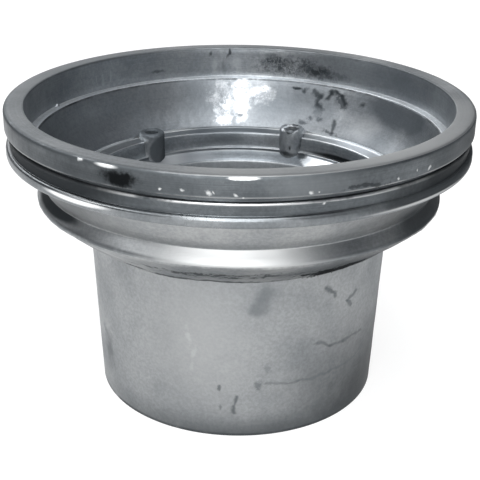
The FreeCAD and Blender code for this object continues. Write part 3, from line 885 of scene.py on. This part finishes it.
# floor, in metres; it glows a little to the camera and in reflections, so that it stays pale
floorPlan = {"radius": 20.0, "steps": 64, "colour": 0.88, "glow": 1.2, "cameraShare": 0.7,
             "mirrorShare": 0.36}


def makeFloor():
    bm = bmesh.new()
    bmesh.ops.create_circle(bm, cap_ends=True, segments=floorPlan["steps"], radius=floorPlan["radius"])
    mesh = bpy.data.meshes.new("floor")
    bm.to_mesh(mesh)
    bm.free()
    floor = bpy.data.objects.new("floor", mesh)
    bpy.context.scene.collection.objects.link(floor)
    material = bpy.data.materials.new("paleFloor")
    material.use_nodes = True
    tree = material.node_tree
    tree.nodes.clear()
    path = tree.nodes.new("ShaderNodeLightPath").outputs
    mirrored = mathNode(tree, "ADD", path["Is Glossy Ray"], path["Is Transmission Ray"], clamp=True)
    mirrored = mathNode(tree, "MULTIPLY", mirrored, floorPlan["mirrorShare"])
    share = mathNode(tree, "MULTIPLY_ADD", path["Is Camera Ray"], floorPlan["cameraShare"], mirrored)
    matt = addNode(tree, "ShaderNodeBsdfDiffuse", {"Color": (floorPlan["colour"],) * 3 + (1.0,)})
    glow = addNode(tree, "ShaderNodeEmission", {"Color": (1, 1, 1, 1), "Strength": floorPlan["glow"]})
    both = addNode(tree, "ShaderNodeMixShader", {0: share, 1: matt.outputs[0], 2: glow.outputs[0]})
    addNode(tree, "ShaderNodeOutputMaterial", {"Surface": both.outputs[0]})
    mesh.materials.append(material)


makeFloor()

# soft studio light: place and size in metres, power in watts; each lamp looks at the drain's axis, at
# lampAim of its height
lamps = {
    "key": {"place": (-0.05, -0.63, 0.77), "size": (0.56, 1.55), "power": 12.5},
    "top": {"place": (-0.03, -0.14, 1.25), "size": (0.42, 0.5), "power": 1.6},
    "front": {"place": (-0.05, -1.15, 0.25), "size": (1.2, 0.45), "power": 3.4},
    "leftBack": {"place": (-0.70, 0.62, 0.95), "size": (0.6, 0.8), "power": 5.5},
    "frontLeft": {"place": (-0.80, -0.45, 0.80), "size": (0.6, 0.6), "power": 2.5},
    "backBox": {"place": (-0.1, 1.3, 0.48), "size": (1.2, 0.45), "power": 2.7},
}
lampAim = 0.7
# light of the surroundings, from the height low to the height high of the sky's unit sphere
worldLevels = {"horizon": 0.12, "zenith": 0.2, "low": 0.05, "high": 0.9, "tint": (0.94, 1.0, 1.1, 1.0)}


def makeLamp(name, plan):
    data = bpy.data.lights.new(name, "AREA")
    data.shape = "RECTANGLE"
    data.size, data.size_y = plan["size"]
    data.energy = plan["power"]
    lamp = bpy.data.objects.new(name, data)
    bpy.context.scene.collection.objects.link(lamp)
    place = Vector(plan["place"])
    lamp.location = place
    target = Vector((0, 0, rimTop * mm * lampAim))
    lamp.rotation_euler = (target - place).to_track_quat("-Z", "Y").to_euler()


def makeWorld():
    world = bpy.data.worlds.new("studio")
    bpy.context.scene.world = world
    world.use_nodes = True
    tree = world.node_tree
    tree.nodes.clear()
    way = tree.nodes.new("ShaderNodeTexCoord").outputs["Generated"]
    level = remap(tree, splitXyz(tree, way)["Z"], worldLevels["low"], worldLevels["high"],
                  worldLevels["horizon"], worldLevels["zenith"])
    tint = mixColour(tree, 1.0, level, worldLevels["tint"], "MULTIPLY")
    backdrop = addNode(tree, "ShaderNodeBackground", {"Color": tint, "Strength": 1.0})
    addNode(tree, "ShaderNodeOutputWorld", {"Surface": backdrop.outputs[0]})


for lampName, lampPlan in lamps.items():
    makeLamp(lampName, lampPlan)
makeWorld()
print("floor, lamps and world made")

# camera at the photograph's angle: place and clip in metres, angles in radians, lens and sensor in mm
view = {"place": (0.0, -0.346264, 0.201664), "pitch": 0.4110, "yaw": 0.0019, "roll": 0.0129,
        "lens": 77.594, "sensor": 36.0, "clip": (0.01, 100.0)}


def makeCamera():
    data = bpy.data.cameras.new("camera")
    data.lens = view["lens"]
    data.sensor_width = view["sensor"]
    data.clip_start, data.clip_end = view["clip"]
    camera = bpy.data.objects.new("camera", data)
    bpy.context.scene.collection.objects.link(camera)
    pitch, yaw, roll = view["pitch"], view["yaw"], view["roll"]
    forward = Vector((math.sin(yaw) * math.cos(pitch), math.cos(yaw) * math.cos(pitch), -math.sin(pitch)))
    right = forward.cross(Vector((0, 0, 1))).normalized()
    up = right.cross(forward)
    tiltedRight = right * math.cos(roll) + up * math.sin(roll)
    tiltedUp = up * math.cos(roll) - right * math.sin(roll)
    turn = Matrix((tiltedRight, tiltedUp, -forward)).transposed()
    camera.matrix_world = Matrix.Translation(view["place"]) @ turn.to_4x4()
    bpy.context.scene.camera = camera


makeCamera()
bpy.context.scene.view_settings.view_transform = "Standard"
